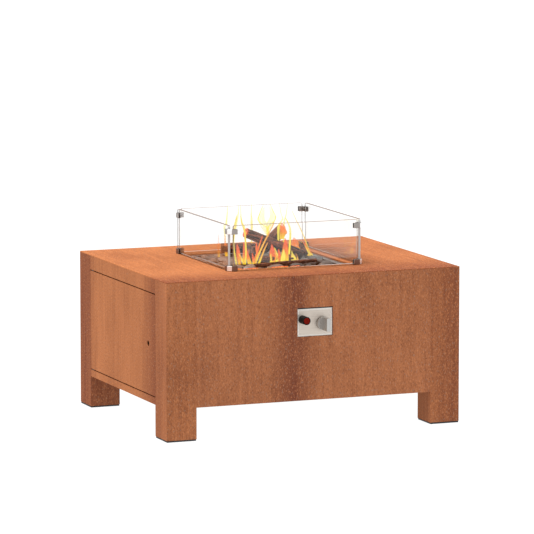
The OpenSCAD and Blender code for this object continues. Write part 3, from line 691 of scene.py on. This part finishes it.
def build_embers():
    """Glowing flakes in a broken line along the front of the tray."""
    rng = random.Random(5)
    lip = TRAY_LOW.y + EMBER_INSET
    bm = bmesh.new()
    for low, high in [(-0.178, -0.109), (-0.060, -0.008), (0.006, 0.034)]:
        count = int((high - low) / EMBER_STEP)
        for i in range(count):
            x = low + (high - low) * (i + rng.uniform(0.2, 0.8)) / count
            made = bmesh.ops.create_icosphere(bm, subdivisions=3, radius=1.0)["verts"]
            size = Vector((rng.uniform(0.0034, 0.0060), rng.uniform(0.0025, 0.0040),
                           rng.uniform(0.0020, 0.0028)))
            turn = Matrix.Rotation(rng.uniform(-0.5, 0.5), 3, "Z")
            for v in made:
                ragged = 1 + 0.30 * noise.noise(v.co * 2.0 + Vector((i * 3.1, low * 90, 0)))
                v.co = turn @ Vector(c * s * ragged for c, s in zip(v.co, size))
                v.co += Vector((x, lip, TRAY_HIGH.z + size.z + rng.uniform(-0.0002, 0.0004)))
    mesh = smooth_mesh(bm, "embers")
    add_piece("ember_flakes", mesh, "table", MATERIALS["ember"])


# Each flame: depth behind the table's centre, heat, strength, then (x, height over the table, width) from
# root to tip. Lengths in millimetres. Hot ones are orange-red, cool ones yellow; the wisps stand behind.
FLAMES = [
    (-105, 1.0, 0.9, [(-139, 1, 10), (-142, 25, 16), (-145, 50, 11), (-148, 70, 2)]),
    (-112, 1.0, 0.9, [(-128, 2, 7), (-127, 30, 9), (-127, 58, 6), (-128, 76, 2)]),
    (-124, 1.0, 0.9, [(-96, 2, 9), (-100, 20, 9), (-103, 40, 2)]),
    (-107, 0.3, 1.0, [(-123, 2, 9), (-134, 20, 8), (-143, 38, 3)]),
    (-110, 0.2, 1.0, [(-124, 1, 10), (-120, 38, 7), (-121, 76, 6), (-124, 108, 6),
                      (-133, 138, 5), (-137, 164, 2)]),
    (-105, 1.0, 0.9, [(-104, 1, 14), (-110, 22, 13), (-116, 48, 6), (-118, 62, 2)]),
    (-112, 0.6, 1.0, [(-89, 2, 9), (-72, 40, 7), (-54, 75, 6), (-35, 108, 5), (-18, 138, 2)]),
    (-108, 1.0, 1.0, [(-93, 2, 9), (-83, 27, 8), (-72, 62, 6), (-60, 94, 2)]),
    (-116, 0.6, 1.0, [(-78, 1, 8), (-61, 40, 6), (-45, 72, 2)]),
    (-60, 1.0, 0.9, [(-58, 18, 8), (-62, 40, 9), (-64, 62, 2)]),
    (-128, 1.0, 1.0, [(-35, 1, 16), (-33, 18, 26), (-34, 36, 24), (-36, 52, 12), (-38, 66, 2)]),
    (-130, 0.1, 1.0, [(-25, 1, 8), (-21, 24, 11), (-26, 44, 6), (-29, 54, 2)]),
    (-131, 0.1, 1.0, [(-38, 1, 6), (-42, 20, 5), (-41, 36, 2)]),
    (-108, 1.0, 0.9, [(8, 14, 14), (14, 42, 15), (16, 64, 8), (17, 82, 2)]),
    (-134, 0.1, 1.0, [(-4, 3, 16), (-1, 20, 18), (2, 36, 10), (1, 48, 2)]),
    (-133, 1.0, 1.0, [(-15, 4, 10), (-14, 28, 13), (-16, 50, 2)]),
    (-104, 0.1, 1.0, [(30, 3, 9), (34, 50, 7), (36, 100, 7), (30, 124, 6), (20, 146, 2)]),
    (-134, 1.0, 1.0, [(13, 5, 12), (11, 34, 14), (11, 62, 8), (9, 80, 2)]),
    (-134, 0.2, 1.0, [(37, 5, 20), (35, 19, 17), (31, 31, 7), (29, 42, 2)]),
    (-100, 0.6, 0.9, [(62, 4, 12), (60, 16, 8), (58, 26, 2)]),
    (-84, 0.1, 1.0, [(3, 66, 6), (3, 92, 8), (4, 114, 9), (9, 126, 3)]),
    (-82, 0.9, 0.8, [(15, 72, 14), (20, 94, 22), (20, 112, 16), (14, 126, 3)]),
    (15, 1.0, 0.8, [(163, 0, 6), (150, 18, 5), (135, 38, 4), (124, 54, 2)]),
    (10, 0.2, 0.8, [(154, 0, 6), (143, 18, 5), (132, 34, 4), (120, 48, 2)]),
    (6, 1.0, 0.8, [(146, 0, 7), (138, 16, 6), (130, 30, 4), (124, 42, 2)]),
    (12, 0.9, 0.8, [(138, 0, 6), (140, 20, 5), (136, 46, 4), (130, 68, 2)]),
    (0, 0.3, 0.6, [(150, 3, 5), (137, 40, 4), (120, 80, 4), (98, 125, 3), (84, 156, 2)]),
    (20, 0.9, 0.55, [(108, 8, 24), (106, 30, 34), (104, 46, 26), (100, 62, 3)]),
    (98, 0.9, 0.9, [(-98, 0, 10), (-100, 25, 9), (-103, 50, 5), (-103, 72, 2)]),
    (60, 0.9, 0.45, [(-140, 4, 8), (-140, 40, 6), (-141, 80, 2)]),
    (-100, 0.2, 0.75, [(-148, 1, 6), (-155, 42, 6), (-158, 76, 5), (-154, 118, 7),
                       (-149, 142, 7), (-144, 164, 2)]),
    (140, 0.0, 0.55, [(-84, 0, 5), (-86, 50, 6), (-88, 88, 8), (-87, 104, 7), (-84, 135, 4), (-84, 165, 2)]),
    (140, 0.0, 0.50, [(-60, 0, 5), (-62, 50, 5), (-56, 88, 9), (-51, 108, 9), (-46, 128, 5), (-44, 165, 2)]),
    (138, 0.0, 0.45, [(-20, 0, 4), (-26, 80, 8), (-33, 100, 7), (-37, 125, 4), (-38, 165, 2)]),
    (140, 0.1, 0.55, [(0, 0, 6), (0, 60, 6), (1, 98, 8), (0, 130, 4), (1, 165, 2)]),
    (140, 0.0, 0.75, [(55, 0, 6), (55, 52, 7), (54, 80, 7), (38, 92, 5), (24, 108, 4),
                      (30, 128, 4), (46, 165, 2)]),
    (136, 0.0, 0.75, [(56, 0, 5), (56, 60, 6), (58, 84, 6), (74, 96, 5), (84, 114, 4),
                      (74, 136, 4), (61, 165, 2)]),
    (141, 0.0, 0.28, [(53, 60, 10), (44, 88, 28), (36, 108, 26), (40, 128, 15), (46, 152, 3)]),
    (137, 0.0, 0.28, [(56, 64, 10), (64, 92, 28), (73, 112, 22), (70, 130, 13), (62, 152, 3)]),
    (140, 0.0, 0.45, [(94, 0, 5), (97, 70, 5), (104, 96, 8), (110, 108, 6), (104, 128, 4), (98, 164, 2)]),
    (136, 0.0, 0.45, [(112, 0, 5), (112, 80, 6), (116, 104, 6), (122, 126, 4), (126, 164, 2)]),
]


def smooth_path(points, rows):
    """Places along a curve that passes through the given points."""
    points = [points[0]] + points + [points[-1]]
    pieces = len(points) - 3
    path = []
    for i in range(rows + 1):
        t = pieces * i / rows
        k = min(int(t), pieces - 1)
        t -= k
        a, b, c, d = points[k:k + 4]
        path.append(0.5 * (2 * b + (c - a) * t + (2 * a - 5 * b + 4 * c - d) * t ** 2
                           + (3 * b - a - 3 * c + d) * t ** 3))
    return path


def flame_leaf(bm, layers, path, across, heat, strength, seed):
    """A thin closed leaf of fire along a path of places whose last number is the width there."""
    columns = FLAME_COLUMNS
    normal = Vector((-across.y, across.x, 0))
    sheets = []
    for skin in (-1, 1):
        grid = []
        for i, spot in enumerate(path):
            rise = i / (len(path) - 1)
            half = max(FLAME_MIN_HALF, spot[3] / 2)
            waver = FLAME_WAVER * noise.noise(Vector((seed * 5.1, rise * 2.5, 0)))
            row = []
            for j in range(columns + 1):
                u = 2 * j / columns - 1
                cup = 0.35 * half * (1 - u * u)
                place = Vector(spot[:3]) + across * (half * u) + normal * (cup + waver + skin * FLAME_THIN)
                row.append(bm.verts.new(place))
                layers["side"].append(abs(u))
                layers["rise"].append(rise)
                layers["warmth"].append(heat)
                layers["strength"].append(strength)
            grid.append(row)
        sheets.append(grid)
    back, front = sheets
    rows = len(path) - 1
    for i in range(rows):
        for j in range(columns):
            bm.faces.new((front[i][j], front[i][j + 1], front[i + 1][j + 1], front[i + 1][j]))
            bm.faces.new((back[i][j], back[i + 1][j], back[i + 1][j + 1], back[i][j + 1]))
        for j in (0, columns):
            bm.faces.new((front[i][j], front[i + 1][j], back[i + 1][j], back[i][j]))
    for i in (0, rows):
        for j in range(columns):
            bm.faces.new((front[i][j], back[i][j], back[i][j + 1], front[i][j + 1]))


def build_flames():
    """Flames among the logs with pale wisps behind; a second leaf across each hot one gives it depth."""
    bm = bmesh.new()
    layers = {"side": [], "rise": [], "warmth": [], "strength": []}
    base = np.array([0, MID_Y, TABLE_TOP, 0])
    for seed, (depth, heat, strength, stops) in enumerate(FLAMES):
        points = [np.array([x, depth, z, width]) * 0.001 + base for x, z, width in stops]
        path = smooth_path(points, FLAME_ROWS * len(points))
        flame_leaf(bm, layers, path, ACROSS_VIEW, heat, strength, seed)
        if heat > 0.4:
            flame_leaf(bm, layers, path, ALONG_VIEW, heat, strength * 0.6, seed + 0.5)
    bmesh.ops.recalc_face_normals(bm, faces=bm.faces)
    mesh = smooth_mesh(bm, "flames")
    for name, values in layers.items():
        add_values(mesh, name, values)
    add_piece("flames", mesh, "table", MATERIALS["flame"])


# ---------------------------------------------------------------- studio

def add_camera():
    """A long lens, from the front left and slightly above."""
    data = bpy.data.cameras.new("camera")
    data.lens, data.sensor_width = 298.5, 36.0
    data.clip_start, data.clip_end = 0.1, 200.0
    camera = bpy.data.objects.new("camera", data)
    bpy.context.scene.collection.objects.link(camera)
    camera.location = (-5.3025, MID_Y - 13.1402, 2.4562)
    camera.rotation_euler = (math.radians(90 - 7.952), 0, math.radians(-21.971))
    bpy.context.scene.camera = camera


def add_sun():
    data = bpy.data.lights.new("key", "SUN")
    data.energy, data.color = 3.0, (1.0, 0.99, 0.97)
    data.angle = math.radians(35)
    light = bpy.data.objects.new("key", data)
    bpy.context.scene.collection.objects.link(light)
    light.rotation_euler = (0, math.radians(-21), 0)


def add_studio():
    """White surroundings, one soft sun and a pale floor."""
    scene = bpy.context.scene
    scene.view_settings.view_transform = "Standard"
    world = bpy.data.worlds.new("studio")
    world.use_nodes = True
    background = world.node_tree.nodes["Background"]
    background.inputs["Color"].default_value = (1.0, 1.0, 1.0, 1.0)
    background.inputs["Strength"].default_value = 1.0
    scene.world = world
    add_sun()

    mesh = bpy.data.meshes.new("floor")
    r = FLOOR_REACH
    mesh.from_pydata([(-r, -r, 0), (r, -r, 0), (r, r, 0), (-r, r, 0)], [], [(0, 1, 2, 3)])
    floor = bpy.data.objects.new("floor", mesh)
    scene.collection.objects.link(floor)
    paint = Paint("pale_floor", Roughness=0.95, Emission_Strength=0.98)
    paint.bsdf.inputs["Emission Color"].default_value = (1.0, 1.0, 1.0, 1.0)
    paint.bsdf.inputs["Base Color"].default_value = (0.06, 0.06, 0.06, 1.0)
    mesh.materials.append(paint.mat)


paint_frame()
build_body()
build_guard()
build_controls()
build_stones()
build_logs()
build_embers()
build_flames()
add_camera()
add_studio()
